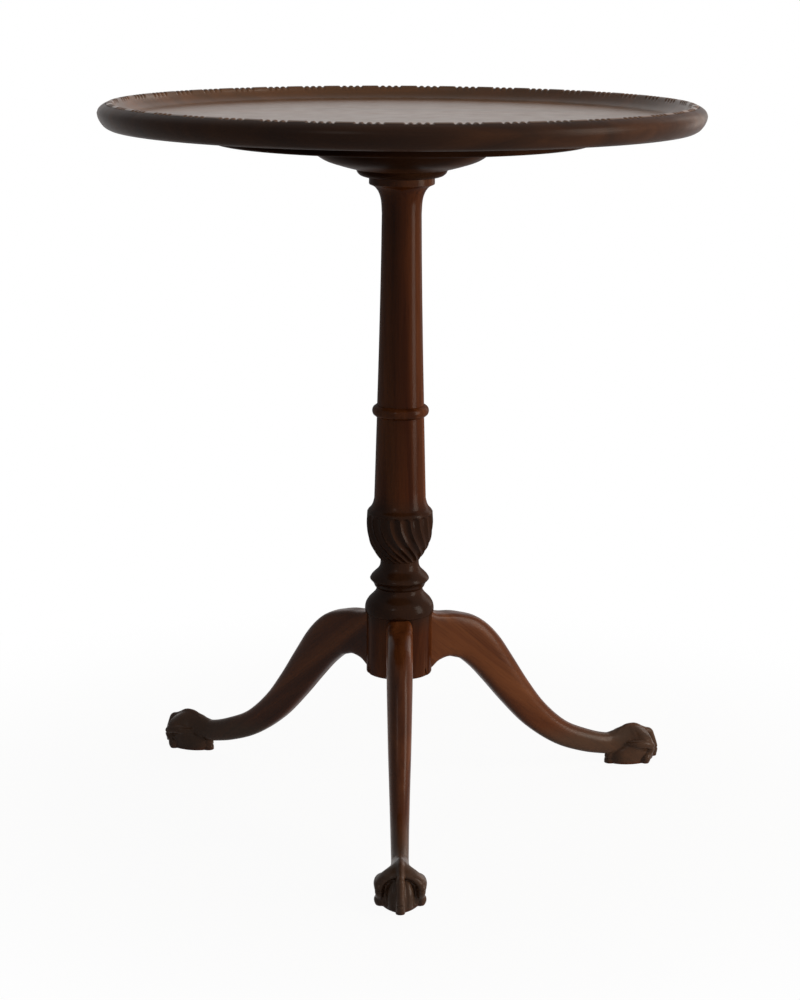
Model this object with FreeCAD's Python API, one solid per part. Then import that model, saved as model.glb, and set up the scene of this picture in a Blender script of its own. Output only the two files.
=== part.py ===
import FreeCAD, Part
import math
import os

V = FreeCAD.Vector

# A tripod tea table: a round dished tray on a turned pillar with a spiral-fluted urn,
# standing on three cabriole legs with claw-and-ball feet. Millimetres, +Z up.
# The origin is on the pillar's axis at floor level, and the front leg points along -Y.

# Overall sizes
TABLE_HEIGHT = 700.0
TRAY_RADIUS = 288.0

# Tray top: a thin board turned out of thicker stock, with a hollow rim and a thin lip
TRAY_DEPTH = 13.5
BOARD_THICKNESS = 10.5
LIP_WIDTH = 6.5
LIP_INSET = 8.5
RIM_SWELL_DROP = 9.0
RIM_UNDERCUT = 11.0
COVE_RUN = 16.0
COVE_SAG = 2.2
RIM_UPPER_SAG = 1.5
RIM_LOWER_SAG = 1.6

# Stiffening disc under the tray
DISC_RADIUS = 182.5
DISC_THICKNESS = 14.0
DISC_EDGE_BEVEL = 3.0

# Turned flange between the disc and the pillar
FLANGE_RADIUS = 92.0
FLANGE_HEIGHT = 33.0
FLANGE_FOOT_RADIUS = 35.4
FLANGE_STEP_RADIUS = 44.0
FLANGE_STEP_HEIGHT = 7.0
FLANGE_FOOT_SAG = 1.0

# Wood screws driven up through the flange and the disc into the tray
SCREWS = 3
SCREW_RING = 74.0
SCREW_SEAT_DROP = 8.0
SCREW_SINK = 14.0
SCREW_LENGTH = 27.0
SCREW_HEAD_RADIUS = 4.8
SCREW_SHANK_RADIUS = 2.4
SCREW_HEAD_HEIGHT = 2.6

# Pillar, from the flange down to the drum that the legs join
TENON_RADIUS = 15.0
ABACUS_RADIUS = 31.6
ABACUS_HEIGHT = 7.0
NECK_RADIUS = 19.2
NECK_COVE_HEIGHT = 28.0
SHAFT_FOOT_RADIUS = 23.0
RING_RADIUS = 27.8
RING_HEIGHT = 11.0
STEM_HEIGHT = 82.5
STEM_TOP_RADIUS = 23.2
STEM_FOOT_RADIUS = 25.5
URN_RADIUS = 32.9
URN_HEIGHT = 49.0
URN_SHOULDER_HEIGHT = 14.0
URN_NECK_RADIUS = 19.0
BEAD_RADIUS = 28.8
BEAD_HEIGHT = 29.0
BEAD_NECK_RADIUS = 22.9
TORUS_RADIUS = 34.1
TORUS_HEIGHT = 25.0
DRUM_RADIUS = 32.6
DRUM_HEIGHT = 61.5
DRUM_CLEAR_OF_FLOOR = 135.5
DRUM_FOOT_BEVEL = 1.0

# Spiral flutes of the urn
FLUTES = 20
FLUTE_DEPTH = 1.6
FLUTE_TWIST = 50.0

# Wedge that spreads the pillar's tenon in the flange
WEDGE_LENGTH = 24.0
WEDGE_BACK = 3.6
WEDGE_EDGE = 1.0

# Cabriole legs
# Each leg's bearing and extra reach: the legs are neither quite evenly spaced nor quite alike
SIDE_LEG_EXTRA = 12.5
LEGS = {"leg_front": (-90.0, 0.0), "leg_right": (25.5, SIDE_LEG_EXTRA), "leg_left": (144.5, SIDE_LEG_EXTRA)}
LEG_WIDTH = 26.0
LEG_TOP_STEP = 0.5
KNEE_DEPTH = 45.6
ANKLE_TO_BALL = 33.0
ANKLE_HEIGHT = 22.4
ANKLE_DEPTH = 22.4
ANKLE_WIDTH = 16.6

# Sliding dovetail that holds each leg in the drum
KEY_DEPTH = 13.0
KEY_NECK = 11.0
KEY_BREADTH = 17.0
KEY_TOP_DROP = 12.0
JOINT_GAP = 0.1

# Claw-and-ball foot
BALL_REACH = 265.0
BALL_RADIUS = 23.0
BALL_WIDTH = 42.0
CLAW_HEIGHT = 18.0
TALON_RADIUS = 6.0

# Cutting tools run past the work by this much
OVERRUN = 2.0
# Points nearer than this are one point
SAME_POINT = 1e-6

# How finely round stretches are divided
ARC_STEPS = 2
RING_STEPS = 4
OGEE_STEPS = 4
TORUS_STEPS = 4
BEAD_STEPS = 6
SHOULDER_STEPS = 3
COVE_STEPS = 3
FLUTE_STEPS = 3
LEG_SIDES = 12
TALON_SIDES = 8
BALL_SIDES = 16

FULL_TURN = 360.0
ORIGIN = V(0, 0, 0)
UP = V(0, 0, 1)

# Heights worked out from the sizes above
TRAY_FLOOR_Z = TABLE_HEIGHT - TRAY_DEPTH
TRAY_UNDERSIDE_Z = TRAY_FLOOR_Z - BOARD_THICKNESS
DISC_UNDERSIDE_Z = TRAY_UNDERSIDE_Z - DISC_THICKNESS
SCREW_SEAT_Z = DISC_UNDERSIDE_Z - SCREW_SEAT_DROP
PILLAR_TOP_Z = DISC_UNDERSIDE_Z - FLANGE_HEIGHT
DRUM_TOP_Z = DRUM_CLEAR_OF_FLOOR + DRUM_HEIGHT
BEAD_NECK_Z = DRUM_TOP_Z + TORUS_HEIGHT
URN_FOOT_Z = BEAD_NECK_Z + BEAD_HEIGHT
URN_RIM_Z = URN_FOOT_Z + URN_HEIGHT
STEM_FOOT_Z = URN_RIM_Z + URN_SHOULDER_HEIGHT
RING_FOOT_Z = STEM_FOOT_Z + STEM_HEIGHT
SHAFT_FOOT_Z = RING_FOOT_Z + RING_HEIGHT
ABACUS_FOOT_Z = PILLAR_TOP_Z - ABACUS_HEIGHT
NECK_Z = ABACUS_FOOT_Z - NECK_COVE_HEIGHT

# The legs' shoulders bear on flats that are as wide as a leg
SHOULDER_REACH = math.sqrt(DRUM_RADIUS ** 2 - (LEG_WIDTH / 2) ** 2)
KEY_TOP_Z = DRUM_TOP_Z - KEY_TOP_DROP
ANKLE_REACH = BALL_REACH - ANKLE_TO_BALL

# Outlines between the named sizes, as shares of them: radius, then height
FLANGE_OGEE_SHARES = ((0.33, 0.16), (0.63, 0.35), (0.84, 0.62))
TORUS_SHARES = ((1.0, 0.21), (0.79, 0.50), (0.30, 0.75))
BEAD_FOOT_SHARES = ((0.25, 0.12), (0.72, 0.22))
BEAD_HEAD_SHARES = ((0.94, 0.44), (0.70, 0.56), (0.32, 0.67), (0.04, 0.80))
BEAD_BELLY_SHARE = 0.33
SHOULDER_SHARES = ((0.47, 0.34), (0.20, 0.60))
SHAFT_SHARES = ((0.55, 0.35), (0.16, 0.75))
NECK_COVE_SHARES = ((0.07, 0.46), (0.27, 0.74))
# The urn's bowl: height, then radius between its neck and its belly
URN_SHARES = ((0.0, 0.04), (0.13, 0.34), (0.31, 0.70), (0.58, 0.95), (1.0, 0.97))

# Leg stations: way out to the ankle, height, then depth and width between ankle and knee
LEG_SHARES = (
    (0.122, 1.012, 0.974, 1.0),
    (0.159, 1.0, 0.983, 1.0),
    (0.23, 0.962, 1.0, 0.957),
    (0.31, 0.859, 0.905, 0.904),
    (0.39, 0.711, 0.741, 0.787),
    (0.49, 0.511, 0.543, 0.617),
    (0.60, 0.3175, 0.362, 0.383),
    (0.74, 0.148, 0.172, 0.17),
    (0.88, 0.0515, 0.078, 0.043),
    (1.0, 0.0, 0.0, 0.0),
)
# The hood that spreads over the ball beyond the ankle: way out from the claw's centre,
# height above it and depth in the ball's radius, then width in the ball's width
HOOD_SHARES = (
    (-0.935, 0.20, 1.026, 0.464),
    (-0.574, 0.209, 1.452, 0.738),
    (-0.348, 0.191, 1.60, 0.952),
    (-0.13, 0.174, 1.591, 1.071),
    (0.152, 0.20, 1.287, 1.095),
    (0.457, 0.278, 0.783, 1.0),
    (0.696, 0.357, 0.452, 0.786),
    (0.913, 0.374, 0.243, 0.476),
)
# The root's flare: way out to the ankle, and the share of the flare that is left
ROOT_FLARE_SHARES = ((0.0, 1.0), (0.0104, 0.909), (0.0228, 0.675), (0.04, 0.364), (0.06, 0.169), (0.09, 0.02))
# More than 1 puts more of a leg's extra reach near its ankle
EXTRA_REACH_RATIO = 1.5
# How square the leg's section is above and below: 2 is an oval, more is squarer
LEG_SQUARENESS_SHARES = (2.4, 3.6)
HOOD_SQUARENESS_SHARES = (1.6, 2.2)

# The ball in level ovals: height, way to the front and way to the heel in its radius, then
# width in its own
BALL_SHARES = (
    (-0.13, 1.122, 1.174, 0.933),
    (0.174, 1.157, 1.174, 0.971),
    (0.413, 1.157, 1.087, 0.971),
    (0.609, 1.13, 0.913, 0.971),
    (0.826, 1.061, 0.783, 0.952),
    (1.043, 0.913, 0.696, 0.857),
    (1.217, 0.652, 0.522, 0.571),
)
# Talons: way out from the claw's centre, way aside and height in the ball's radius, then
# thickness in the talon's
FRONT_TALON_SHARES = (
    (-0.478, 0.0, 0.817, 0.50),
    (0.152, 0.0, 0.687, 0.57),
    (0.696, 0.0, 0.461, 0.58),
    (0.93, 0.0, 0.40, 0.63),
    (1.061, 0.0, 0.152, 0.58),
    (1.183, 0.0, -0.152, 0.57),
    (1.24, 0.0, -0.435, 0.66),
    (1.148, 0.0, -0.717, 0.70),
    (1.104, 0.0, -0.957, 0.70),
)
SIDE_TALON_SHARES = (
    (-0.652, 0.391, 0.13, 0.50),
    (-0.174, 0.783, 0.157, 0.67),
    (0.217, 0.87, 0.157, 0.67),
    (0.50, 0.835, -0.02, 0.60),
    (0.40, 0.817, -0.30, 0.50),
    (0.217, 0.848, -0.591, 0.73),
    (0.174, 0.848, -0.913, 0.73),
)


def rz(radius, height):
    return V(radius, 0, height)


def sampled(edge, steps):
    """Points along an edge in even steps, its ends included."""
    first, last = edge.ParameterRange
    return [edge.valueAt(first + (last - first) * i / steps) for i in range(steps + 1)]


def bow(start, end, sag):
    """A round stretch of outline that bulges by sag to the left of its run."""
    along = end - start
    across = V(-along.z, 0, along.x)
    across.normalize()
    middle = (start + end) / 2 + across * sag
    return sampled(Part.Arc(start, middle, end).toShape(), ARC_STEPS)


def flow(points, steps):
    """A flowing stretch of outline through a few points."""
    spline = Part.BSplineCurve()
    spline.interpolate(points)
    return sampled(spline.toShape(), steps)


def between(start, end, shares):
    """Points between two corners, each as its share of the change in radius and in height."""
    return [
        rz(start.x + (end.x - start.x) * radius_share, start.z + (end.z - start.z) * height_share)
        for radius_share, height_share in shares
    ]


def closed(points):
    """A closed wire of straight edges, with points that repeat taken once."""
    kept = [p for i, p in enumerate(points) if not p.isEqual(points[i - 1], SAME_POINT)]
    return Part.makePolygon(kept + kept[:1])


def turned(outline):
    return Part.Face(closed(outline)).revolve(ORIGIN, UP, FULL_TURN)


def ring_of(shape, count):
    copies = []
    for i in range(count):
        copy = shape.copy()
        copy.rotate(ORIGIN, UP, FULL_TURN * i / count)
        copies.append(copy)
    return copies


def screw(gap):
    """A wood screw driven upwards, or with a gap the stepped hole that takes it."""
    head = SCREW_HEAD_RADIUS + gap
    shank = SCREW_SHANK_RADIUS + gap
    foot_z = SCREW_SEAT_Z - (SCREW_SINK if gap else SCREW_HEAD_HEIGHT)
    end_z = SCREW_SEAT_Z + SCREW_LENGTH + gap
    body = turned([
        rz(0, foot_z),
        rz(head, foot_z),
        rz(head, SCREW_SEAT_Z),
        rz(shank, SCREW_SEAT_Z),
        rz(shank, end_z),
        rz(0, end_z),
    ])
    body.translate(V(SCREW_RING, 0, 0))
    return body


def tray_top():
    lip_outer = rz(TRAY_RADIUS - LIP_INSET, TABLE_HEIGHT)
    lip_inner = rz(lip_outer.x - LIP_WIDTH, TABLE_HEIGHT)
    cove_foot = rz(lip_inner.x - COVE_RUN, TRAY_FLOOR_Z)
    swell = rz(TRAY_RADIUS, TABLE_HEIGHT - RIM_SWELL_DROP)
    under_edge = rz(TRAY_RADIUS - RIM_UNDERCUT, TRAY_UNDERSIDE_Z)
    board = turned(
        [rz(0, TRAY_FLOOR_Z)]
        + bow(cove_foot, lip_inner, -COVE_SAG)
        + bow(lip_outer, swell, RIM_UPPER_SAG)
        + bow(swell, under_edge, RIM_LOWER_SAG)
        + [rz(0, TRAY_UNDERSIDE_Z)]
    )
    return board.cut(ring_of(screw(JOINT_GAP), SCREWS))


def under_disc():
    disc = turned([
        rz(0, TRAY_UNDERSIDE_Z),
        rz(DISC_RADIUS, TRAY_UNDERSIDE_Z),
        rz(DISC_RADIUS, DISC_UNDERSIDE_Z + DISC_EDGE_BEVEL),
        rz(DISC_RADIUS - DISC_EDGE_BEVEL, DISC_UNDERSIDE_Z),
        rz(0, DISC_UNDERSIDE_Z),
    ])
    return disc.cut(ring_of(screw(JOINT_GAP), SCREWS))


def top_flange():
    hole = TENON_RADIUS + JOINT_GAP
    edge = rz(FLANGE_RADIUS, DISC_UNDERSIDE_Z)
    step = rz(FLANGE_STEP_RADIUS, PILLAR_TOP_Z + FLANGE_STEP_HEIGHT)
    foot = rz(FLANGE_FOOT_RADIUS, PILLAR_TOP_Z)
    flange = turned(
        [rz(hole, PILLAR_TOP_Z)]
        + bow(foot, step, FLANGE_FOOT_SAG)
        + flow([step] + between(step, edge, FLANGE_OGEE_SHARES) + [edge], OGEE_STEPS)
        + [rz(hole, DISC_UNDERSIDE_Z)]
    )
    return flange.cut(ring_of(screw(JOINT_GAP), SCREWS))


def tenon_wedge():
    """A thin wedge across the tenon, driven down flush with the flange's top."""
    edge_z = DISC_UNDERSIDE_Z - WEDGE_LENGTH
    side = closed([
        V(-WEDGE_BACK / 2, -TENON_RADIUS, DISC_UNDERSIDE_Z),
        V(WEDGE_BACK / 2, -TENON_RADIUS, DISC_UNDERSIDE_Z),
        V(WEDGE_EDGE / 2, -TENON_RADIUS, edge_z),
        V(-WEDGE_EDGE / 2, -TENON_RADIUS, edge_z),
    ])
    blade = Part.Face(side).extrude(V(0, 2 * TENON_RADIUS, 0))
    return blade.common(Part.makeCylinder(TENON_RADIUS, TABLE_HEIGHT))


def lower_pillar():
    """The drum, torus and bead below the urn."""
    torus_foot = rz(TORUS_RADIUS, DRUM_TOP_Z)
    bead_neck = rz(BEAD_NECK_RADIUS, BEAD_NECK_Z)
    belly = rz(BEAD_RADIUS, BEAD_NECK_Z + BEAD_HEIGHT * BEAD_BELLY_SHARE)
    urn_foot = rz(URN_NECK_RADIUS, URN_FOOT_Z)
    torus = between(rz(BEAD_NECK_RADIUS, DRUM_TOP_Z), rz(TORUS_RADIUS, BEAD_NECK_Z), TORUS_SHARES)
    rising = between(bead_neck, rz(BEAD_RADIUS, URN_FOOT_Z), BEAD_FOOT_SHARES)
    closing = between(rz(URN_NECK_RADIUS, BEAD_NECK_Z), rz(BEAD_RADIUS, URN_FOOT_Z), BEAD_HEAD_SHARES)
    return turned(
        [
            rz(0, DRUM_CLEAR_OF_FLOOR),
            rz(DRUM_RADIUS - DRUM_FOOT_BEVEL, DRUM_CLEAR_OF_FLOOR),
            rz(DRUM_RADIUS, DRUM_CLEAR_OF_FLOOR + DRUM_FOOT_BEVEL),
            rz(DRUM_RADIUS, DRUM_TOP_Z),
        ]
        + flow([torus_foot] + torus + [bead_neck], TORUS_STEPS)
        + flow([bead_neck] + rising + [belly] + closing + [urn_foot], BEAD_STEPS)
        + [rz(0, URN_FOOT_Z)]
    )


def fluted_section(height_share, radius_share):
    """One scalloped outline of the urn's bowl, turned further round the lower it lies."""
    radius = URN_NECK_RADIUS + (URN_RADIUS - URN_NECK_RADIUS) * radius_share
    depth = FLUTE_DEPTH * radius / URN_RADIUS
    height = URN_FOOT_Z + URN_HEIGHT * height_share
    turn = math.radians(FLUTE_TWIST) * (1 - height_share) ** 2
    points = []
    for i in range(FLUTES * FLUTE_STEPS):
        angle = turn + math.radians(FULL_TURN) * i / (FLUTES * FLUTE_STEPS)
        reach = radius - depth * math.sin(math.pi * (i % FLUTE_STEPS) / FLUTE_STEPS)
        points.append(V(reach * math.cos(angle), reach * math.sin(angle), height))
    return closed(points)


def fluted_urn():
    return Part.makeLoft([fluted_section(*share) for share in URN_SHARES], True, True)


def upper_pillar():
    """The urn's shoulder, the stem, the ring, the shaft, the abacus and the tenon."""
    rim = rz(URN_RADIUS, URN_RIM_Z)
    stem_foot = rz(STEM_FOOT_RADIUS, STEM_FOOT_Z)
    ring_foot = rz(STEM_TOP_RADIUS, RING_FOOT_Z)
    ring_belly = rz(RING_RADIUS, RING_FOOT_Z + RING_HEIGHT / 2)
    shaft_foot = rz(SHAFT_FOOT_RADIUS, SHAFT_FOOT_Z)
    neck = rz(NECK_RADIUS, NECK_Z)
    abacus_foot = rz(ABACUS_RADIUS, ABACUS_FOOT_Z)
    shoulder = between(rz(STEM_FOOT_RADIUS, URN_RIM_Z), rz(URN_RADIUS, STEM_FOOT_Z), SHOULDER_SHARES)
    shaft = between(rz(NECK_RADIUS, SHAFT_FOOT_Z), rz(SHAFT_FOOT_RADIUS, NECK_Z), SHAFT_SHARES)
    return turned(
        [rz(0, URN_RIM_Z)]
        + flow([rim] + shoulder + [stem_foot], SHOULDER_STEPS)
        + flow([ring_foot, ring_belly, shaft_foot], RING_STEPS)
        + [shaft_foot] + shaft
        + flow([neck] + between(neck, abacus_foot, NECK_COVE_SHARES) + [abacus_foot], COVE_STEPS)
        + [
            rz(ABACUS_RADIUS, PILLAR_TOP_Z),
            rz(TENON_RADIUS, PILLAR_TOP_Z),
            rz(TENON_RADIUS, DISC_UNDERSIDE_Z),
            rz(0, DISC_UNDERSIDE_Z),
        ]
    )


def dovetail(gap, foot_z, top_z):
    """A leg's dovetail key on the +X side, or with a gap the socket that takes it."""
    inner = SHOULDER_REACH - KEY_DEPTH - gap
    tail = closed([
        V(inner, -KEY_BREADTH / 2 - gap, foot_z),
        V(SHOULDER_REACH, -KEY_NECK / 2 - gap, foot_z),
        V(SHOULDER_REACH, KEY_NECK / 2 + gap, foot_z),
        V(inner, KEY_BREADTH / 2 + gap, foot_z),
    ])
    return Part.Face(tail).extrude(V(0, 0, top_z - foot_z))


def leg_seat():
    """The flat and the dovetail socket that one leg needs in the drum."""
    start_z = DRUM_CLEAR_OF_FLOOR - OVERRUN
    corner = V(SHOULDER_REACH, -LEG_WIDTH / 2, start_z)
    flat = Part.makeBox(DRUM_RADIUS, LEG_WIDTH, DRUM_TOP_Z - start_z, corner)
    return [flat, dovetail(JOINT_GAP, start_z, KEY_TOP_Z + JOINT_GAP)]


def column():
    pillar = lower_pillar().fuse([fluted_urn(), upper_pillar()])
    seats = []
    for bearing, _ in LEGS.values():
        for tool in leg_seat():
            tool.rotate(ORIGIN, UP, bearing)
            seats.append(tool)
    return pillar.cut(seats + [tenon_wedge()])


def rounded(value, squareness):
    return math.copysign(abs(value) ** (2 / squareness), value)


def leg_section(centre, along, depth, width, ratios):
    """A leg's cross-section: well rounded on top, squarer below."""
    aside = V(0, 1, 0)
    rise = along.cross(aside)
    rise.normalize()
    points = []
    for i in range(LEG_SIDES):
        angle = math.radians(FULL_TURN) * (i + 1 / 2) / LEG_SIDES
        squareness = ratios[0] if math.sin(angle) > 0 else ratios[1]
        across = rounded(math.cos(angle), squareness) * width / 2
        up = rounded(math.sin(angle), squareness) * depth / 2
        points.append(centre + aside * across + rise * up)
    return closed(points)


def tangents(places):
    """The direction of a flowing curve at each of the points that it passes through."""
    spine = Part.BSplineCurve()
    spine.interpolate(places)
    return [spine.tangent(spine.parameter(place))[0] for place in places]


def cabriole(extra_reach):
    """The curved leg along +X, lofted from its shoulder through the ankle to the hood over the ball."""
    root_depth = DRUM_HEIGHT - LEG_TOP_STEP
    root_z = DRUM_CLEAR_OF_FLOOR + root_depth / 2
    run = ANKLE_REACH - SHOULDER_REACH
    ball_reach = BALL_REACH + extra_reach
    stations = []
    for out_share, flare_share in ROOT_FLARE_SHARES:
        out = SHOULDER_REACH + run * out_share + extra_reach * out_share ** EXTRA_REACH_RATIO
        depth = KNEE_DEPTH + (root_depth - KNEE_DEPTH) * flare_share
        stations.append((V(out, 0, root_z), depth, LEG_WIDTH, LEG_SQUARENESS_SHARES))
    for out_share, up_share, depth_share, width_share in LEG_SHARES:
        out = SHOULDER_REACH + run * out_share + extra_reach * out_share ** EXTRA_REACH_RATIO
        place = V(out, 0, ANKLE_HEIGHT + (root_z - ANKLE_HEIGHT) * up_share)
        depth = ANKLE_DEPTH + (KNEE_DEPTH - ANKLE_DEPTH) * depth_share
        width = ANKLE_WIDTH + (LEG_WIDTH - ANKLE_WIDTH) * width_share
        stations.append((place, depth, width, LEG_SQUARENESS_SHARES))
    for out_share, up_share, depth_share, width_share in HOOD_SHARES:
        place = V(ball_reach + BALL_RADIUS * out_share, 0, CLAW_HEIGHT + BALL_RADIUS * up_share)
        stations.append((place, BALL_RADIUS * depth_share, BALL_WIDTH * width_share, HOOD_SQUARENESS_SHARES))
    ways = tangents([station[0] for station in stations])
    for i in range(len(ROOT_FLARE_SHARES)):
        ways[i] = V(1, 0, 0)
    sections = [leg_section(place, way, *sizes) for (place, *sizes), way in zip(stations, ways)]
    return Part.makeLoft(sections, True, True)


def talon(shares, side):
    """A bent, knuckled talon, lofted through rings that swell at its joints."""
    places = [
        V(
            BALL_REACH + BALL_RADIUS * out_share,
            side * BALL_RADIUS * aside_share,
            CLAW_HEIGHT + BALL_RADIUS * up_share,
        )
        for out_share, aside_share, up_share, _ in shares
    ]
    rings = []
    for place, way, share in zip(places, tangents(places), shares):
        facing = FreeCAD.Rotation(V(0, 1, 0), V(0, 0, 0), way, "ZXY")
        radius = TALON_RADIUS * share[3]
        points = []
        for i in range(TALON_SIDES):
            angle = math.radians(FULL_TURN) * i / TALON_SIDES
            spoke = V(radius * math.cos(angle), radius * math.sin(angle), 0)
            points.append(place + facing.multVec(spoke))
        rings.append(closed(points))
    return Part.makeLoft(rings, True, True)


def ball():
    """The ball in the claw, longer to the heel below, lofted through level ovals."""
    ovals = []
    for up_share, front_share, heel_share, width_share in BALL_SHARES:
        points = []
        for i in range(BALL_SIDES):
            angle = math.radians(FULL_TURN) * i / BALL_SIDES
            out_share = front_share if math.cos(angle) > 0 else heel_share
            out = BALL_REACH + BALL_RADIUS * out_share * math.cos(angle)
            aside = BALL_WIDTH / 2 * width_share * math.sin(angle)
            points.append(V(out, aside, BALL_RADIUS * up_share))
        ovals.append(closed(points))
    return Part.makeLoft(ovals, True, True)


def foot(extra_reach):
    """The ball and the three talons of a claw-and-ball foot."""
    talons = [(FRONT_TALON_SHARES, 1), (SIDE_TALON_SHARES, 1), (SIDE_TALON_SHARES, -1)]
    pieces = [ball()] + [talon(shares, side) for shares, side in talons]
    for piece in pieces:
        piece.translate(V(extra_reach, 0, 0))
    return pieces


def leg(bearing, extra_reach):
    """A cabriole leg with its claw-and-ball foot and its dovetail key."""
    body = cabriole(extra_reach)
    for piece in foot(extra_reach):
        body = body.fuse(piece)
    span = 2 * TRAY_RADIUS
    below_floor = Part.makeBox(span, span, span, V(0, -span / 2, -span))
    body = body.cut(below_floor).fuse(dovetail(0, DRUM_CLEAR_OF_FLOOR, KEY_TOP_Z))
    body.rotate(ORIGIN, UP, bearing)
    return body


def main():
    os.makedirs("parts", exist_ok=True)
    pieces = {
        "tray_top": tray_top(),
        "under_disc": under_disc(),
        "top_flange": top_flange(),
        "flange_screws": Part.makeCompound(ring_of(screw(0), SCREWS)),
        "column": column(),
        "tenon_wedge": tenon_wedge(),
    }
    for name, (bearing, extra_reach) in LEGS.items():
        pieces[name] = leg(bearing, extra_reach)
    for name, shape in pieces.items():
        shape.exportStep(f"parts/{name}.step")
        print(name, shape.isValid(), len(shape.Solids), len(shape.Faces), round(shape.Volume))


main()
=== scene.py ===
import math

import bmesh
import bpy
from mathutils import Matrix, Vector


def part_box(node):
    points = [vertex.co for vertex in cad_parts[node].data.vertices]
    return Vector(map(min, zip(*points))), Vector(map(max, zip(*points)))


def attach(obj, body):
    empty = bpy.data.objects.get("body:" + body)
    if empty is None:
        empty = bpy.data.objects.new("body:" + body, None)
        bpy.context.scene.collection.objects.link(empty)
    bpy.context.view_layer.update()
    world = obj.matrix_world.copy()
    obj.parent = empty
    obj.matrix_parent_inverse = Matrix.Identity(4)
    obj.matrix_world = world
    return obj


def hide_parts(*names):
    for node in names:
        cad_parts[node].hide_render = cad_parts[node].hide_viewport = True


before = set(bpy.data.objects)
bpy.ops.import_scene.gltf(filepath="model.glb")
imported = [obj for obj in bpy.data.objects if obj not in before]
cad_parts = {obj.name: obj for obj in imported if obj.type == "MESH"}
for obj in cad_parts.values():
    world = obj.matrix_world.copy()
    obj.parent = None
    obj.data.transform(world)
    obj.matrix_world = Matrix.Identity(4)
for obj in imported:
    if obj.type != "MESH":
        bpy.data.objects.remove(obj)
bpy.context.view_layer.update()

# Outlines and stations are in millimetres, as in the part's source; the scene is in metres.
MM = 0.001
FULL_TURN = 2 * math.pi
# Edges that turn by more than this keep a crisp corner
CREASE_ANGLE = math.radians(34)
# Straight steps between two points of a curve: on short curves, on most, on long ones and over the flutes
SHORT_STEPS = 3
CURVE_STEPS = 4
LONG_STEPS = 5
FLUTED_STEPS = 7

# Camera of the photograph: its place, its look down, its small roll and its focal length
CAMERA_BEARING = math.radians(-0.5)
CAMERA_PLACE = (0.0, -2.201, 0.8346)
CAMERA_PITCH = math.radians(13.37)
CAMERA_ROLL = math.radians(0.35)
CAMERA_LENS = 82.44
SENSOR_HEIGHT = 36.0

# Lamps: name, place, aim, size, power and colour
LAMPS = (
    ("window", (2.1, -0.7, 0.85), (0, 0, 0.42), (0.8, 1.9), 43, (1.0, 0.90, 0.78)),
    ("back_window", (1.4, 1.5, 0.85), (0, 0, 0.45), (0.6, 1.4), 7, (1.0, 0.90, 0.80)),
    ("side_window", (-0.9, -2.1, 1.7), (0, 0, 0.4), (0.35, 0.7), 4.2, (1.0, 0.96, 0.91)),
)
# What lights the table from around: a lit backdrop that fades into a darker room
BACKDROP_WAY = (0.45, 0.89, 0.0)
BACKDROP_COLOR = (1.0, 0.90, 0.78, 1)
BACKDROP_LEVEL = 0.9
ROOM_LEVEL = 0.035
BACKDROP_FADE = {"From Min": 0.1, "From Max": 0.9, "To Min": ROOM_LEVEL, "To Max": BACKDROP_LEVEL}
WHITE_LEVEL = 1.0

# Floor: pale under the table and darker far out, but shown white, apart from a faint shadow
FLOOR_RADIUS = 1.0
FLOOR_SIDES = 128
# A hair's breadth under the soles, so that the two faces never share a plane
FLOOR_DROP = 0.1 * MM
FLOOR_COLORS = ((0.35, (0.62, 0.60, 0.57)), (0.75, (0.12, 0.12, 0.12)))
FLOOR_ROUGHNESS = 0.9
FLOOR_SHINE = 0.1
FLOOR_WHITENESS = {"From Min": 0.25, "From Max": 0.75, "To Min": 0.95}

# Tray
TRAY_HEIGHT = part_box("tray_top")[1].z / MM
TRAY_FLOOR = 686.5
TRAY_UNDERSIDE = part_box("tray_top")[0].z / MM
FLOOR_OUTLINE = ((200, TRAY_FLOOR), (250, TRAY_FLOOR))
COVE_OUTLINE = ((257, TRAY_FLOOR), (263.5, 687.5), (268.6, 690.6), (271.6, 694.8), (272.9, 698.4))
LIP_OUTLINE = ((272.9, 698.4), (273.8, 699.5), (275.6, TRAY_HEIGHT), (277.4, 699.8), (279.2, 699.0))
UPPER_RIM_OUTLINE = ((279.2, 699.0), (283.4, 696.8), (286.6, 693.9), (288, 690.3))
LOWER_RIM_OUTLINE = ((288, 690.3), (287.3, 686.6), (285.2, 682.2), (281.9, 678.2), (279.4, 676.6))
UNDERSIDE_OUTLINE = ((278.2, TRAY_UNDERSIDE), (170, TRAY_UNDERSIDE))

# Carving of the lip: groups of three beads between four notches, with plain bars between the groups
LIP_GROUPS = 42
LIP_GROUP_SEGMENTS = 56
LIP_BEARING = math.radians(-87.6)
LIP_RADIUS = 277.0
NOTCH_PITCH = 7.0
NOTCH_HALF_WIDTH = 2.4
NOTCH_SHARPNESS = 4
NOTCH_DEPTH = 1.7
NOTCH_FADE = 1.0
BEADS = 3

# Disc and flange under the tray
DISC_TOP_OUTLINE = ((40, 676), (182.5, 676))
DISC_EDGE_OUTLINE = ((182.5, 665.5), (181.8, 663.4), (179.5, 662))
DISC_UNDERSIDE_OUTLINE = ((40, 662),)
FLANGE_TOP_OUTLINE = ((15.1, 662),)
FLANGE_OGEE_OUTLINE = ((92, 662), (84.3, 652.1), (74.2, 645.1), (59.8, 640.2), (44, 636))
FLANGE_FOOT_OUTLINE = ((44, 636), (42.6, 633), (39.6, 630.4), (35.4, 629))
FLANGE_BORE_OUTLINE = ((15.1, 629),)

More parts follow.
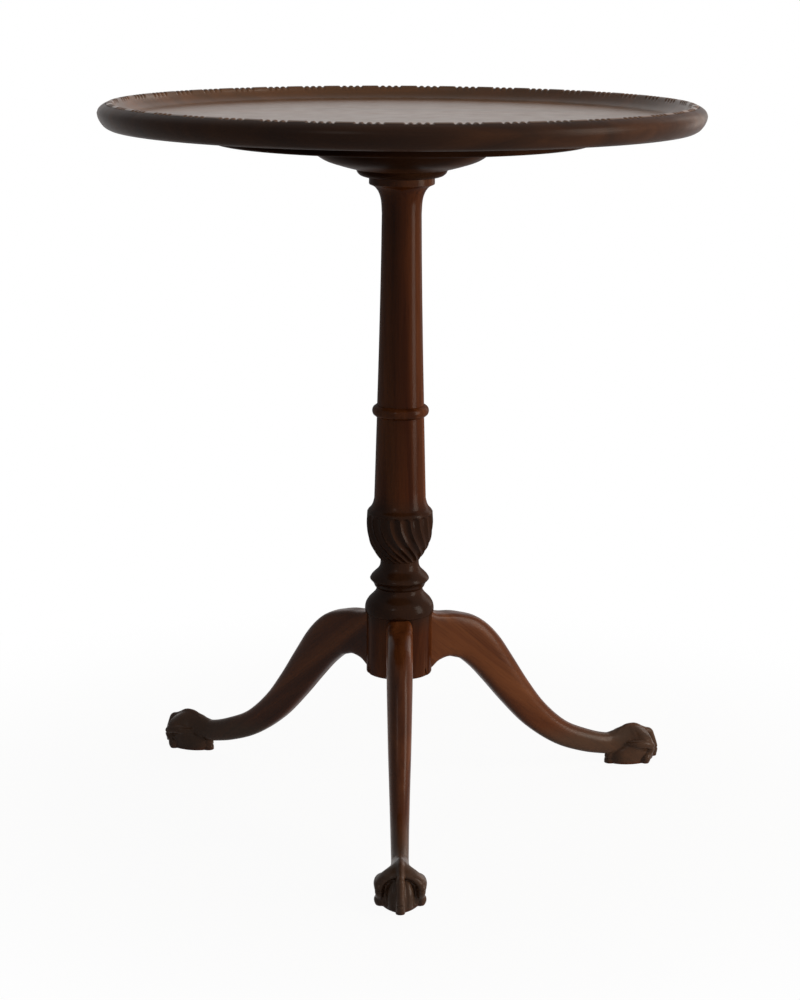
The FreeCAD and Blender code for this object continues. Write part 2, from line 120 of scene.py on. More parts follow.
# Pillar
PILLAR_SEGMENTS = 240
DRUM_RADIUS = 32.6
DRUM_TOP = 197.0
DRUM_UNDERSIDE_OUTLINE = ((24, 135.5),)
DRUM_FOOT_OUTLINE = ((31.4, 135.5), (32.3, 135.8), (DRUM_RADIUS, 136.6))
DRUM_SIDE_OUTLINE = ((DRUM_RADIUS, 168), (DRUM_RADIUS, 196.8))
TORUS_OUTLINE = (
    (33.0, DRUM_TOP), (34.0, 198.0), (34.3, 200.6), (34.2, 203.5), (33.2, 207.4), (30.6, 211.6),
    (26.3, 216), (23.6, 219.4), (22.9, 222),
)
BEAD_OUTLINE = (
    (22.9, 222.8), (24.6, 224.6), (25.4, 226.6), (26.8, 229), (29.0, 231.4), (29.3, 232.6),
    (27.6, 235.6), (24.4, 239), (21.2, 242.2), (19.4, 246), (19, 251),
)
URN_OUTLINE = (
    (19.0, 251), (20.6, 253), (23.7, 257.4), (26.8, 262.5), (29.8, 269), (32.0, 278),
    (32.9, 288.5), (32.6, 296), (32.4, 300),
)
SHOULDER_OUTLINE = ((32.4, 300.4), (31.2, 302.4), (28.8, 305), (26.9, 308.6), (25.5, 314))
STEM_OUTLINE = ((25.5, 314), (24.6, 345), (23.8, 375), (23.2, 396))
RING_OUTLINE = ((24.4, 396.4), (26.8, 398.4), (27.8, 401.6), (27.0, 405), (24.2, 407.4))
SHAFT_OUTLINE = ((23, 407.6), (21.3, 472.8), (19.8, 547.4), (19.2, 594))
NECK_OUTLINE = ((19.2, 594), (20.1, 606.9), (22.5, 614.7), (26.4, 619.8), (31.0, 622))
ABACUS_OUTLINE = ((31.6, 622.6), (31.6, 628.6), (31.2, 629))
TENON_OUTLINE = ((15, 629), (15, 637.5))

# Small V-shaped nicks in the drum's foot, one between each two legs
DRUM_NICKS = (-36, 85, 201)
NICK_HEIGHT = 9.5
NICK_HALF_WIDTH = 2.8

# Spiral flutes of the urn
URN_FOOT = 251.0
URN_RIM = 300.0
FLUTES = 20
FLUTE_DEPTH = 1.9
FLUTE_TWIST = math.radians(60)
# More than 1 bends the flutes most near their feet
FLUTE_BEND = 2.4
FLUTE_ARCH = 2.6
FLUTE_RUN_OUT = 2.2

# Legs: each leg's bearing and extra reach
LEGS = {"leg_front": (-90.0, 0.0), "leg_right": (25.5, 12.5), "leg_left": (144.5, 12.5)}
SHOULDER_REACH = 29.9
# Sections stand upright out to here
ROOT_REACH = 50.0
# More than 1 puts most of a leg's extra reach near its ankle
STRETCH = 1.5
LEG_WIDTH = 26.0
LEG_SIDES = 48
TALON_SIDES = 24
# How square a section is above and below its middle, from the shoulder to the hood
SQUARENESS = (
    (24, 6, 6), (48, 4.4, 4.4), (92, 2.5, 3.4), (232, 2.3, 3.0),
    (250, 1.5, 2.2), (257, 1.25, 2.2), (263, 1.25, 2.2), (270, 1.6, 2.2), (276, 2.0, 2.2),
)
# Stations from the shoulder to the ankle: reach, height, depth, width
LEG_STATIONS = (
    (24, 166, 61, LEG_WIDTH),
    (SHOULDER_REACH, 166, 61, LEG_WIDTH),
    (32, 166, 59.6, LEG_WIDTH),
    (34.5, 166.4, 56, LEG_WIDTH),
    (38, 167.1, 51.2, LEG_WIDTH),
    (42, 167.6, 48.2, LEG_WIDTH),
    (48, 167.9, 45.6, LEG_WIDTH),
    (54.5, 167.7, 45, LEG_WIDTH),
    (62, 166, 45.2, LEG_WIDTH),
    (76.4, 160.6, 45.6, 25.6),
    (92.6, 145.8, 43.4, 25.1),
    (108.7, 124.5, 39.6, 24),
    (128.9, 95.8, 35, 22.4),
    (151.2, 68, 30.8, 20.2),
    (179.5, 43.6, 26.4, 18.2),
    (207.7, 29.8, 24.2, 17),
    (232, 22.4, 22.4, 16.6),
)
# The hood over the ball: reach, height, depth, width
HOOD_STATIONS = (
    (243.5, 22.6, 25, 18.8),
    (251.8, 22.8, 30.8, 23),
    (257, 22.6, 33.6, 29),
    (262, 22.4, 34.6, 37.4),
    (268.5, 22.2, 30.6, 45.6),
    (273, 21.6, 26, 45.8),
    (276.4, 21, 23, 44),
)
# The ridge of the front talon: reach, way aside, height, half-width, as for all that follow
FRONT_TALON = (
    (252, 0, 34.7, 3),
    (257, 0, 36.6, 3.1),
    (262, 0, 36.9, 3.3),
    (268.5, 0, 35.8, 3.6),
    (275.5, 0, 32, 3.6),
    (281, 0, 29.4, 3.7),
    (286.2, 0, 27.2, 4),
    (289.2, 0, 21.5, 3.7),
    (292, 0, 14.5, 3.5),
    (293.2, 0, 8, 3.9),
    (291.4, 0, 1.5, 4.3),
    (290.4, 0, -4, 4.3),
)
# What joins that ridge to the ball
FRONT_WEB = (
    (270, 0, 24, 3.4),
    (279, 0, 24, 3.6),
    (285, 0, 20.5, 3.6),
    (288.6, 0, 13, 3.4),
    (289.6, 0, 6, 3.4),
    (289, 0, -3, 3.4),
)
SIDE_TALON = (
    (250, 8, 21, 3),
    (261, 17.4, 21.4, 4.6),
    (270, 19.4, 21, 4.8),
    (276.4, 18.8, 18.6, 4.8),
    (276.8, 18.8, 14.4, 4.2),
    (274, 18.6, 9.6, 3.8),
    (271.5, 19, 5.6, 5),
    (271, 18, 2, 4.6),
    (271, 16, -1.6, 3.4),
)
# The arched web between the front talon and a side talon
WEB = (
    (277.4, 2, 30, 2.2),
    (277.6, 7, 29.2, 2.2),
    (277.4, 12, 26.8, 2.4),
    (277, 16.6, 22.6, 3),
    (276.5, 19, 17.6, 3.8),
)
HEEL_TALON = (
    (241, 0, 21, 6.4),
    (238.8, 0, 13, 5.8),
    (237.6, 0, 7, 5.4),
    (237.8, 0, 1.5, 5.8),
    (238, 0, -4, 5.8),
)
# Tendons that meet over the ankle
TENDON = (
    (241, 3.4, 31, 1.5),
    (247, 2.6, 33.9, 1.8),
    (254, 0.8, 35.8, 1.8),
)

# The carved block under the hood: height, then its reach to the front, to the heel and to each side
BLOCK_ROWS = (
    (-3, 25.6, 28, 17.8),
    (0, 25.8, 28.4, 18.2),
    (4, 26.4, 29, 19.2),
    (8.5, 26.8, 29, 20),
    (12, 26.4, 28, 20.4),
    (16, 25.2, 25, 20.6),
    (20, 22.6, 20, 20),
    (24, 18.6, 16, 18),
    (28, 12.6, 12, 12),
)
BLOCK_REACH = 265.0
BLOCK_FRONT_SQUARENESS = 1.6
BLOCK_HEEL_SQUARENESS = 1.9
BLOCK_SIDES = 160
BLOCK_STEPS = 6
# Hollows between the talons: bearing from the front, half-width, depth and the heights that it fades at
BLOCK_HOLLOWS = (
    (13, 7, 1.2, 26, 30),
    (42, 13, 2.6, 22, 28),
    (110, 40, 0.8, 15, 21),
)
HOLLOW_FOOT = 5.0
# More than 1 makes a hollow's sides steeper
HOLLOW_EDGE = 1.6

# How the forms of a leg are melted together
VOXEL = 0.6 * MM
SMOOTHING = 10
SMOOTHING_SHARE = 0.5

# Mahogany: figure and pores are noise that is stretched along the fibres
BLACK = (0, 0, 0)
WHITE = (1, 1, 1)
FIGURE = {"Scale": 1.0, "Detail": 5.0, "Roughness": 0.55, "Distortion": 0.6}
FIGURE_STRETCH = (2.2, 34, 34)
WOOD_COLORS = (
    (0.34, (0.044, 0.0104, 0.0028)),
    (0.50, (0.096, 0.0272, 0.0080)),
    (0.66, (0.170, 0.0560, 0.0185)),
)
PORES = {"Scale": 1.0, "Detail": 3.0, "Roughness": 0.6}
PORE_STRETCH = (28, 900, 900)
PORE_SHADES = ((0.30, (0.7, 0.7, 0.7)), (0.46, WHITE))
PORE_RELIEF = {"Strength": 0.12, "Distance": 0.0006}
# Worn, paler edges and a varnish that is duller in places
SCUFFS = {"Scale": 55.0, "Detail": 4.0}
WORN_EDGES = ((0.50, BLACK), (0.60, WHITE))
WORN_COLOR = (0.16, 0.075, 0.042, 1)
VARNISH_IOR = 1.48
VARNISH_ROUGHNESS = {"To Min": 0.26, "To Max": 0.46}
# A tint laid over a band of heights of the wood: its share and its colour
BAND_FADE = 0.02
# A darker tone: on the pillar it darkens the torus, the bead and the urn; under the tray it is painted
# shade on the disc and the flange
DARKENING_AND_PAINTED_SHADE = (0.76, (0.022, 0.0125, 0.0080, 1))
DUST = (0.6, (0.075, 0.053, 0.037, 1))
# Darker, greyer rim: partly a darker finish, partly a painted pale reflection
RIM_DARKENING_AND_PAINTED_REFLECTION = (0.7, (0.040, 0.0260, 0.0195, 1))
# Warmer, paler board: partly faded wood, partly a painted warm tint of its reflection
FADING_AND_PAINTED_REFLECTION = (0.42, (0.20, 0.098, 0.030, 1))
# Finishes: share of gloss coat, its haze, the shine under it, then the tint laid over it between two
# heights
# On the board the tint is partly a painted reflection
BOARD_FINISH_AND_PAINTED_REFLECTION = (0.29, 0.28, 0.12, (0.66, 0.72, FADING_AND_PAINTED_REFLECTION))
# On the rim and the tray's underside the tint is partly a painted reflection
RIM_FINISH_AND_PAINTED_REFLECTION = (0.1, 0.28, 0.01, (0.66, 0.72, RIM_DARKENING_AND_PAINTED_REFLECTION))
# Under the tray the darker tone is painted shade
UNDER_FINISH_AND_PAINTED_SHADE = (0.0, 0.3, 0.004, (0.60, 0.68, DARKENING_AND_PAINTED_SHADE))
TURNED_FINISH = (0.1, 0.2, 0.0, (0.20, 0.30, DARKENING_AND_PAINTED_SHADE))
LEG_FINISH = (0.16, 0.22, 0.02, (0.0, 0.035, DUST))
# Turns that lay the fibres along +X
LEVEL_GRAIN = Matrix.Identity(3)
UPRIGHT_GRAIN = Matrix.Rotation(math.pi / 2, 3, "Y")
LEG_SLOPE = math.radians(40)

# Darkened steel of the screws
STEEL_PATCHES = {"Scale": 400.0, "Detail": 4.0}
STEEL_COLORS = ((0.35, (0.10, 0.08, 0.065)), (0.65, (0.30, 0.28, 0.26)))
STEEL_ROUGHNESS = {"To Min": 0.35, "To Max": 0.65}


def vectors(points):
    return [Vector(point) for point in points]


def flow(points, steps=CURVE_STEPS):
    """Points along a smooth curve through a few points, spaced by the way between them."""
    points = vectors(points)
    marks = [0.0]
    for a, b in zip(points, points[1:]):
        marks.append(marks[-1] + (b - a).length)
    slopes = []
    for i in range(len(points)):
        before, after = max(i - 1, 0), min(i + 1, len(points) - 1)
        slopes.append((points[after] - points[before]) / (marks[after] - marks[before]))
    line = []
    for i in range(len(points) - 1):
        span = marks[i + 1] - marks[i]
        for step in range(steps):
            t = step / steps
            line.append(
                points[i] * (1 + 2 * t) * (1 - t) ** 2
                + slopes[i] * span * t * (1 - t) ** 2
                + points[i + 1] * t * t * (3 - 2 * t)
                + slopes[i + 1] * span * t * t * (t - 1)
            )
    return line + [points[-1]]


def piece(name, mesh, nodes):
    """A finished mesh as a named piece that stands for CAD nodes."""
    thing = bpy.data.objects.new(name, mesh)
    bpy.context.scene.collection.objects.link(thing)
    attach(thing, "root")
    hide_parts(*nodes)
    return thing


def skin(name, rings):
    """A mesh over closed rings of points, with its ends closed and its sharp edges kept crisp."""
    shape = bmesh.new()
    rows = [[shape.verts.new(point) for point in ring] for ring in rings]
    for low, high in zip(rows, rows[1:]):
        count = len(low)
        for i in range(count):
            shape.faces.new((low[i], low[(i + 1) % count], high[(i + 1) % count], high[i]))
    shape.faces.new(list(reversed(rows[0])))
    shape.faces.new(rows[-1])
    bmesh.ops.recalc_face_normals(shape, faces=shape.faces)
    for face in shape.faces:
        face.smooth = True
    for edge in shape.edges:
        edge.smooth = len(edge.link_faces) == 2 and edge.calc_face_angle() < CREASE_ANGLE
    mesh = bpy.data.meshes.new(name)
    shape.to_mesh(mesh)
    shape.free()
    return mesh


def around(count, turn=0.0):
    return [FULL_TURN * i / count + turn for i in range(count)]


def on_circle(radius, angle, height):
    return Vector((radius * math.cos(angle), radius * math.sin(angle), height)) * MM


def off_bearing(angle, bearing):
    """The turn from a bearing in degrees to an angle, the shorter way round."""
    return (angle - math.radians(bearing) + math.pi) % FULL_TURN - math.pi


def smooth_step(value):
    value = min(max(value, 0.0), 1.0)
    return value * value * (3 - 2 * value)


def notch(angle):
    """How deep the lip's carving is at a bearing, from 0 on a bar or a bead's crown to 1 in a notch."""
    group = FULL_TURN / LIP_GROUPS
    way = abs((angle - LIP_BEARING + group / 2) % group - group / 2) * LIP_RADIUS
    last = NOTCH_PITCH * BEADS / 2
    if way > last:
        return smooth_step(1 - (way - last) / NOTCH_HALF_WIDTH)
    return abs(math.sin(math.pi * way / NOTCH_PITCH + math.pi * (BEADS % 2 - 1) / 2)) ** NOTCH_SHARPNESS


def tray():
    outline = vectors(FLOOR_OUTLINE) + flow(COVE_OUTLINE)[:-1] + flow(LIP_OUTLINE, SHORT_STEPS)
    outline += flow(UPPER_RIM_OUTLINE)[1:] + flow(LOWER_RIM_OUTLINE)[1:] + vectors(UNDERSIDE_OUTLINE)
    bearings = around(LIP_GROUPS * LIP_GROUP_SEGMENTS, LIP_BEARING)
    depths = [NOTCH_DEPTH * notch(angle) for angle in bearings]
    rings = []
    for radius, height in outline:
        off_lip = max(LIP_OUTLINE[0][0] - radius, radius - LIP_OUTLINE[-1][0], 0)
        hold = smooth_step(1 - off_lip / NOTCH_FADE) if height > TRAY_FLOOR else 0
        rings.append([on_circle(radius, a, height - d * hold) for a, d in zip(bearings, depths)])
    return piece("tray", skin("tray", rings), ["tray_top"])


def turned(name, outline, nodes):
    bearings = around(PILLAR_SEGMENTS)
    rings = [[on_circle(radius, angle, height) for angle in bearings] for radius, height in outline]
    return piece(name, skin(name, rings), nodes)


def disc():
    outline = vectors(DISC_TOP_OUTLINE) + flow(DISC_EDGE_OUTLINE, SHORT_STEPS)
    outline += vectors(DISC_UNDERSIDE_OUTLINE)
    return turned("disc", outline, ["under_disc"])


def flange():
    outline = vectors(FLANGE_TOP_OUTLINE) + flow(FLANGE_OGEE_OUTLINE, LONG_STEPS)
    outline += flow(FLANGE_FOOT_OUTLINE)[1:] + vectors(FLANGE_BORE_OUTLINE)
    return turned("flange", outline, ["top_flange"])


def flute_cut(share, height):
    """How far a flute's hollow lies under the urn's surface, at a share of its width and a height."""
    top = URN_RIM - FLUTE_ARCH * (2 * share - 1) ** 2
    head = smooth_step((top - height) / FLUTE_RUN_OUT)
    foot = smooth_step((height - URN_FOOT) / FLUTE_RUN_OUT)
    return FLUTE_DEPTH * math.sin(math.pi * share) * head * foot


def drum_radius(radius, angle):
    """The drum's radius, flattened where a leg's shoulder bears on it."""
    for bearing, _ in LEGS.values():
        off = off_bearing(angle, bearing)
        if abs(SHOULDER_REACH * math.tan(off)) < LEG_WIDTH / 2 and abs(off) < math.pi / 2:
            radius = min(radius, SHOULDER_REACH / math.cos(off))
    return radius


def nicked_foot(radius, angle):
    """The height of the drum's lower edge at a bearing."""
    edge, foot = DRUM_FOOT_OUTLINE[0]
    if radius < edge:
        return foot
    nearest = min(abs(off_bearing(angle, bearing)) for bearing in DRUM_NICKS) * radius
    return foot + NICK_HEIGHT * max(1 - nearest / NICK_HALF_WIDTH, 0)


def pillar_outline():
    outline = vectors(DRUM_UNDERSIDE_OUTLINE) + flow(DRUM_FOOT_OUTLINE, SHORT_STEPS)
    outline += vectors(DRUM_SIDE_OUTLINE) + flow(TORUS_OUTLINE) + flow(BEAD_OUTLINE)
    outline += flow(URN_OUTLINE, FLUTED_STEPS)[1:] + flow(SHOULDER_OUTLINE)
    outline += flow(STEM_OUTLINE, SHORT_STEPS)[1:] + flow(RING_OUTLINE) + flow(SHAFT_OUTLINE)
    outline += flow(NECK_OUTLINE, LONG_STEPS)[1:] + vectors(ABACUS_OUTLINE) + vectors(TENON_OUTLINE)
    return outline


def pillar():
    per_flute = PILLAR_SEGMENTS // FLUTES
    rings = []
    for radius, level in pillar_outline():
        share = min(max((level - URN_FOOT) / (URN_RIM - URN_FOOT), 0), 1)
        ring = []
        for i, angle in enumerate(around(PILLAR_SEGMENTS, FLUTE_TWIST * (1 - share) ** FLUTE_BEND)):
            reach = radius
            height = level
            if level < DRUM_TOP:
                reach = drum_radius(radius, angle)
                height = max(level, nicked_foot(radius, angle))
            elif URN_FOOT < height < URN_RIM:
                reach = radius - flute_cut(i % per_flute / per_flute, height) * radius / DRUM_RADIUS
            ring.append(on_circle(reach, angle, height))
        rings.append(ring)
    return piece("pillar", skin("pillar", rings), ["column"])


def rounded(value, squareness):
    return math.copysign(abs(value) ** (2 / squareness), value)


def ways(places):
    """The direction of a path at each of its points."""
    last = len(places) - 1
    return [(places[min(i + 1, last)] - places[max(i - 1, 0)]).normalized() for i in range(last + 1)]


def between_rows(rows, value):
    """What a table gives between two of its rows, whose first column is the value."""
    for low, high in zip(rows, rows[1:]):
        if value <= high[0]:
            break
    share = min(max((value - low[0]) / (high[0] - low[0]), 0), 1)
    return [a + (b - a) * share for a, b in zip(low[1:], high[1:])]


def leg_rings(extra):
    """Rings of the cabriole leg along +X, from its shoulder over the ankle to the hood."""
    stations = []
    for reach, *rest in LEG_STATIONS + HOOD_STATIONS:
        share = (reach - SHOULDER_REACH) / (LEG_STATIONS[-1][0] - SHOULDER_REACH)
        stations.append((reach + extra * min(max(share, 0), 1) ** STRETCH, *rest))
    line = flow(stations, LONG_STEPS)
    places = [Vector((reach, 0, height)) for reach, height, _, _ in line]
    aside = Vector((0, 1, 0))
    rings = []
    for place, way, (reach, _, depth, width) in zip(places, ways(places), line):
        rise = way.cross(aside).normalized() if reach > ROOT_REACH else Vector((0, 0, 1))
        above, below = between_rows(SQUARENESS, reach - extra)
        ring = []
        for angle in around(LEG_SIDES):
            squareness = above if math.sin(angle) > 0 else below
            across = rounded(math.cos(angle), squareness) * width / 2
            up = rounded(math.sin(angle), squareness) * depth / 2
            ring.append((place + aside * across + rise * up) * MM)
        rings.append(ring)
    return rings


def talon_rings(stations, side, extra):
    """Rings of a bent talon that swells at its knuckles."""
    line = flow(stations, LONG_STEPS)
    path = [Vector((reach + extra, aside * side, height)) for reach, aside, height, _ in line]
    rings = []
    for place, way, (_, _, _, radius) in zip(path, ways(path), line):
        facing = way.to_track_quat("Z", "X").to_matrix()
        rings.append([
            (place + facing @ Vector((radius * math.cos(a), radius * math.sin(a), 0))) * MM
            for a in around(TALON_SIDES)
        ])
    return rings


def hollow(angle, height):
    """How far the block is hollowed between its talons, at a bearing from the front and a height."""
    turn = abs(math.degrees(off_bearing(angle, 0)))
    depth = 0
    for bearing, half, deepest, low, high in BLOCK_HOLLOWS:
        hold = smooth_step((high - height) / (high - low)) * smooth_step(height / HOLLOW_FOOT)
        depth += deepest * hold * smooth_step((1 - abs(turn - bearing) / half) * HOLLOW_EDGE)
    return depth


def block_rings(extra):
    """Level rings of the block that holds the ball and the side talons, hollowed between the talons."""
    rings = []
    for height, front, heel, side in flow(BLOCK_ROWS, BLOCK_STEPS):
        ring = []
        for angle in around(BLOCK_SIDES):
            end, squareness = heel, BLOCK_HEEL_SQUARENESS
            if math.cos(angle) > 0:
                end, squareness = front, BLOCK_FRONT_SQUARENESS
            spans = (abs(math.cos(angle)) / end) ** squareness + (abs(math.sin(angle)) / side) ** squareness
            reach = spans ** (-1 / squareness) - hollow(angle, height)
            out = BLOCK_REACH + extra + reach * math.cos(angle)
            ring.append(Vector((out, reach * math.sin(angle), height)) * MM)
        rings.append(ring)
    return rings


def carved_leg(name, bearing, extra):
    """One leg: its forms are joined, melted together like carved wood, and set on the floor."""
    forms = [leg_rings(extra), block_rings(extra)]
    forms += [talon_rings(path, 1, extra) for path in (FRONT_TALON, FRONT_WEB, HEEL_TALON)]
    forms += [talon_rings(path, side, extra) for path in (SIDE_TALON, WEB, TENDON) for side in (1, -1)]
    block = bmesh.new()
    for rings in forms:
        part = skin("form", rings)
        block.from_mesh(part)
        bpy.data.meshes.remove(part)
    rough = bpy.data.meshes.new("rough")
    block.to_mesh(rough)
    block.free()
    carving = bpy.data.objects.new("carving", rough)
    bpy.context.scene.collection.objects.link(carving)
    melt = carving.modifiers.new("melt", "REMESH")
    melt.mode = "VOXEL"
    melt.voxel_size = VOXEL
    melt.use_smooth_shade = True
    soften = carving.modifiers.new("soften", "SMOOTH")
    soften.factor = SMOOTHING_SHARE
    soften.iterations = SMOOTHING
    mesh = bpy.data.meshes.new_from_object(carving.evaluated_get(bpy.context.evaluated_depsgraph_get()))
    bpy.data.objects.remove(carving)
    for vertex in mesh.vertices:
        vertex.co.z = max(vertex.co.z, 0)
    mesh.transform(Matrix.Rotation(math.radians(bearing), 4, "Z"))
    mesh.name = name
    return piece(name.replace("leg", "carved_leg"), mesh, [name])


def feed(tree, socket, value):
    """Link a socket to another node's output, or set its value."""
    if isinstance(value, bpy.types.NodeSocket):
        tree.links.new(value, socket)
    else:
        socket.default_value = value


def add_node(tree, kind, **values):
    """A node with its settings made, then its sockets fed."""
    node = tree.nodes.new(kind)
    for key, value in values.items():
        if key in node.inputs:
            feed(tree, node.inputs[key], value)
        else:
            setattr(node, key, value)
    return node


def math_node(tree, operation, first, second):
    node = add_node(tree, "ShaderNodeMath", operation=operation)
    feed(tree, node.inputs[0], first)
    feed(tree, node.inputs[1], second)
    return node.outputs["Value"]


def blend(tree, factor, low, high, way="MIX"):
    node = add_node(tree, "ShaderNodeMix", data_type="RGBA", blend_type=way, Factor=factor, A=low, B=high)
    return node.outputs["Result"]


def ramp(tree, source, stops):
    node = add_node(tree, "ShaderNodeValToRGB", Fac=source)
    elements = node.color_ramp.elements
    while len(elements) < len(stops):
        elements.new(0.5)
    for element, (place, color) in zip(elements, stops):
        element.position = place
        element.color = (*color, 1)
    return node.outputs["Color"]


def noise(tree, place, texture):
    return add_node(tree, "ShaderNodeTexNoise", Vector=place, **texture).outputs["Fac"]


def stretched(tree, place, scale):
    return add_node(tree, "ShaderNodeMapping", Vector=place, Scale=scale).outputs["Vector"]


def spread(tree, value, **limits):
    return add_node(tree, "ShaderNodeMapRange", Value=value, **limits).outputs["Result"]


def new_material(name):
    material = bpy.data.materials.new(name)
    material.use_nodes = True
    return material, material.node_tree, material.node_tree.nodes["Principled BSDF"]


def mahogany(name, grain, gloss, haze, shine, tint_band):
    """Dark varnished mahogany; grain is the turn that lays its fibres along +X."""
    material, tree, shader = new_material(name)
    place = tree.nodes.new("ShaderNodeTexCoord").outputs["Object"]
    along = add_node(tree, "ShaderNodeMapping", Vector=place, Rotation=grain.to_euler()).outputs["Vector"]
    figure = noise(tree, stretched(tree, along, FIGURE_STRETCH), FIGURE)
    pores = noise(tree, stretched(tree, along, PORE_STRETCH), PORES)
    scuffs = noise(tree, place, SCUFFS)
    wood = ramp(tree, figure, WOOD_COLORS)
    pored = blend(tree, 1.0, wood, ramp(tree, pores, PORE_SHADES), "MULTIPLY")
    edges = ramp(tree, tree.nodes.new("ShaderNodeNewGeometry").outputs["Pointiness"], WORN_EDGES)
    worn = blend(tree, math_node(tree, "MULTIPLY", edges, scuffs), pored, WORN_COLOR)
    # The band's tint: dust on the feet, a darker tone on the pillar's urn, painted shade under the tray,
    # and partly a painted reflection on the board and the rim
    low, high, (share, tint) = tint_band
    band_grey = (share, share, share)
    height = add_node(tree, "ShaderNodeSeparateXYZ", Vector=place).outputs["Z"]
    stops = ((low - BAND_FADE, BLACK), (low, band_grey), (high, band_grey), (high + BAND_FADE, BLACK))
    band_tinted = blend(tree, ramp(tree, height, stops), worn, tint)
    relief = add_node(tree, "ShaderNodeBump", Height=pores, **PORE_RELIEF)
    feed(tree, shader.inputs["Base Color"], band_tinted)
    feed(tree, shader.inputs["Roughness"], spread(tree, scuffs, **VARNISH_ROUGHNESS))
    feed(tree, shader.inputs["Normal"], relief.outputs["Normal"])
    shader.inputs["Coat Weight"].default_value = gloss
    shader.inputs["Coat Roughness"].default_value = haze
    shader.inputs["Specular IOR Level"].default_value = shine
    shader.inputs["IOR"].default_value = VARNISH_IOR
    return material


def old_steel():
    material, tree, shader = new_material("old_steel")
    place = tree.nodes.new("ShaderNodeTexCoord").outputs["Object"]
    patches = noise(tree, place, STEEL_PATCHES)
    feed(tree, shader.inputs["Base Color"], ramp(tree, patches, STEEL_COLORS))
    feed(tree, shader.inputs["Roughness"], spread(tree, patches, **STEEL_ROUGHNESS))
    shader.inputs["Metallic"].default_value = 1.0
    return material


def dress(thing, material):
    thing.data.materials.clear()
    thing.data.materials.append(material)


def dress_tray(thing, board_wood, rim_wood):
    """Board wood inside the lip, faded and tinted by a painted warm reflection; rim wood, darker and greyed
    by a painted pale reflection, on the rim and the underside.
    """
    dress(thing, board_wood)
    thing.data.materials.append(rim_wood)
    for face in thing.data.polygons:
        outside = face.center.xy.length > LIP_OUTLINE[-1][0] * MM
        face.material_index = int(outside or face.normal.z < 0)


def camera():
    data = bpy.data.cameras.new("camera")
    data.sensor_fit = "VERTICAL"
    data.sensor_height = SENSOR_HEIGHT
    data.lens = CAMERA_LENS
    eye = bpy.data.objects.new("camera", data)
    level = Matrix.Rotation(math.pi / 2 - CAMERA_PITCH, 4, "X") @ Matrix.Rotation(CAMERA_ROLL, 4, "Z")
    eye.matrix_world = Matrix.Rotation(CAMERA_BEARING, 4, "Z") @ Matrix.Translation(CAMERA_PLACE) @ level
    bpy.context.scene.collection.objects.link(eye)
    bpy.context.scene.camera = eye


def lamp(name, place, aim, size, power, color):
    data = bpy.data.lights.new(name, "AREA")
    data.shape = "RECTANGLE"
    data.size, data.size_y = size
    data.energy = power
    data.color = color
    light = bpy.data.objects.new(name, data)
    light.location = place
    light.rotation_euler = (Vector(aim) - Vector(place)).to_track_quat("-Z", "Y").to_euler()
    bpy.context.scene.collection.objects.link(light)


def background_ray(tree):
    """1 for a ray that shows the plain background: from the camera, through glass or in a reflection."""
    rays = tree.nodes.new("ShaderNodeLightPath").outputs
    seen = math_node(tree, "MAXIMUM", rays["Is Camera Ray"], rays["Is Transmission Ray"])
    return math_node(tree, "MAXIMUM", seen, rays["Is Glossy Ray"])


def studio():
    scene = bpy.context.scene
    scene.view_settings.view_transform = "Standard"
    for settings in LAMPS:
        lamp(*settings)
    world = bpy.data.worlds.new("studio")
    scene.world = world
    world.use_nodes = True
    tree = world.node_tree
    toward = add_node(tree, "ShaderNodeVectorMath", operation="DOT_PRODUCT")
    feed(tree, toward.inputs[0], tree.nodes.new("ShaderNodeTexCoord").outputs["Generated"])
    feed(tree, toward.inputs[1], BACKDROP_WAY)
    back = spread(tree, toward.outputs["Value"], interpolation_type="SMOOTHSTEP", **BACKDROP_FADE)
    plain = background_ray(tree)
    level = add_node(tree, "ShaderNodeMix", data_type="FLOAT", Factor=plain, A=back, B=WHITE_LEVEL)
    out = tree.nodes["Background"]
    feed(tree, out.inputs["Strength"], level.outputs["Result"])
    feed(tree, out.inputs["Color"], blend(tree, plain, BACKDROP_COLOR, (*WHITE, 1)))


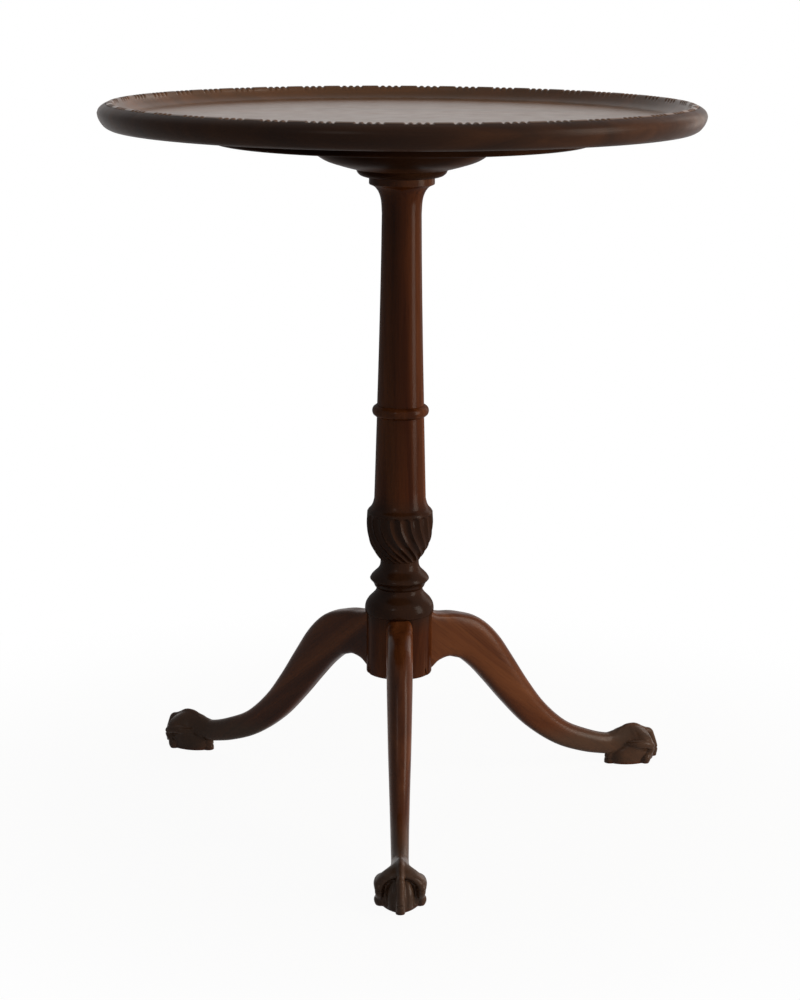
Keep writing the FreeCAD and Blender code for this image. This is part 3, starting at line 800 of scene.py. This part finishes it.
def floor():
    bpy.ops.mesh.primitive_circle_add(vertices=FLOOR_SIDES, radius=FLOOR_RADIUS, fill_type="NGON")
    ground = bpy.context.object
    ground.name = "floor"
    ground.location.z = -FLOOR_DROP
    material, tree, shader = new_material("floor")
    shader.inputs["Roughness"].default_value = FLOOR_ROUGHNESS
    shader.inputs["Specular IOR Level"].default_value = FLOOR_SHINE
    length = add_node(tree, "ShaderNodeVectorMath", operation="LENGTH")
    feed(tree, length.inputs[0], tree.nodes.new("ShaderNodeTexCoord").outputs["Object"])
    reach = length.outputs["Value"]
    feed(tree, shader.inputs["Base Color"], ramp(tree, reach, FLOOR_COLORS))
    whiteness = spread(tree, reach, interpolation_type="SMOOTHSTEP", **FLOOR_WHITENESS)
    white = add_node(tree, "ShaderNodeEmission", Strength=WHITE_LEVEL)
    share = math_node(tree, "MULTIPLY", background_ray(tree), whiteness)
    seen = add_node(tree, "ShaderNodeMixShader", Fac=share)
    feed(tree, seen.inputs[1], shader.outputs["BSDF"])
    feed(tree, seen.inputs[2], white.outputs["Emission"])
    feed(tree, tree.nodes["Material Output"].inputs["Surface"], seen.outputs["Shader"])
    dress(ground, material)


def build():
    # The board's and the rim's tints are partly painted reflection; the wood under the tray carries painted
    # shade
    board_wood = mahogany("board_wood", LEVEL_GRAIN, *BOARD_FINISH_AND_PAINTED_REFLECTION)
    rim_wood = mahogany("rim_wood", LEVEL_GRAIN, *RIM_FINISH_AND_PAINTED_REFLECTION)
    under_wood = mahogany("under_wood", LEVEL_GRAIN, *UNDER_FINISH_AND_PAINTED_SHADE)
    turned_wood = mahogany("turned_wood", UPRIGHT_GRAIN, *TURNED_FINISH)
    dress_tray(tray(), board_wood, rim_wood)
    dress(disc(), under_wood)
    dress(flange(), under_wood)
    dress(pillar(), turned_wood)
    for name, (bearing, extra) in LEGS.items():
        lie = Matrix.Rotation(-LEG_SLOPE, 3, "Y") @ Matrix.Rotation(-math.radians(bearing), 3, "Z")
        dress(carved_leg(name, bearing, extra), mahogany(name + "_wood", lie, *LEG_FINISH))
    dress(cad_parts["tenon_wedge"], turned_wood)
    dress(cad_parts["flange_screws"], old_steel())


build()
camera()
studio()
floor()
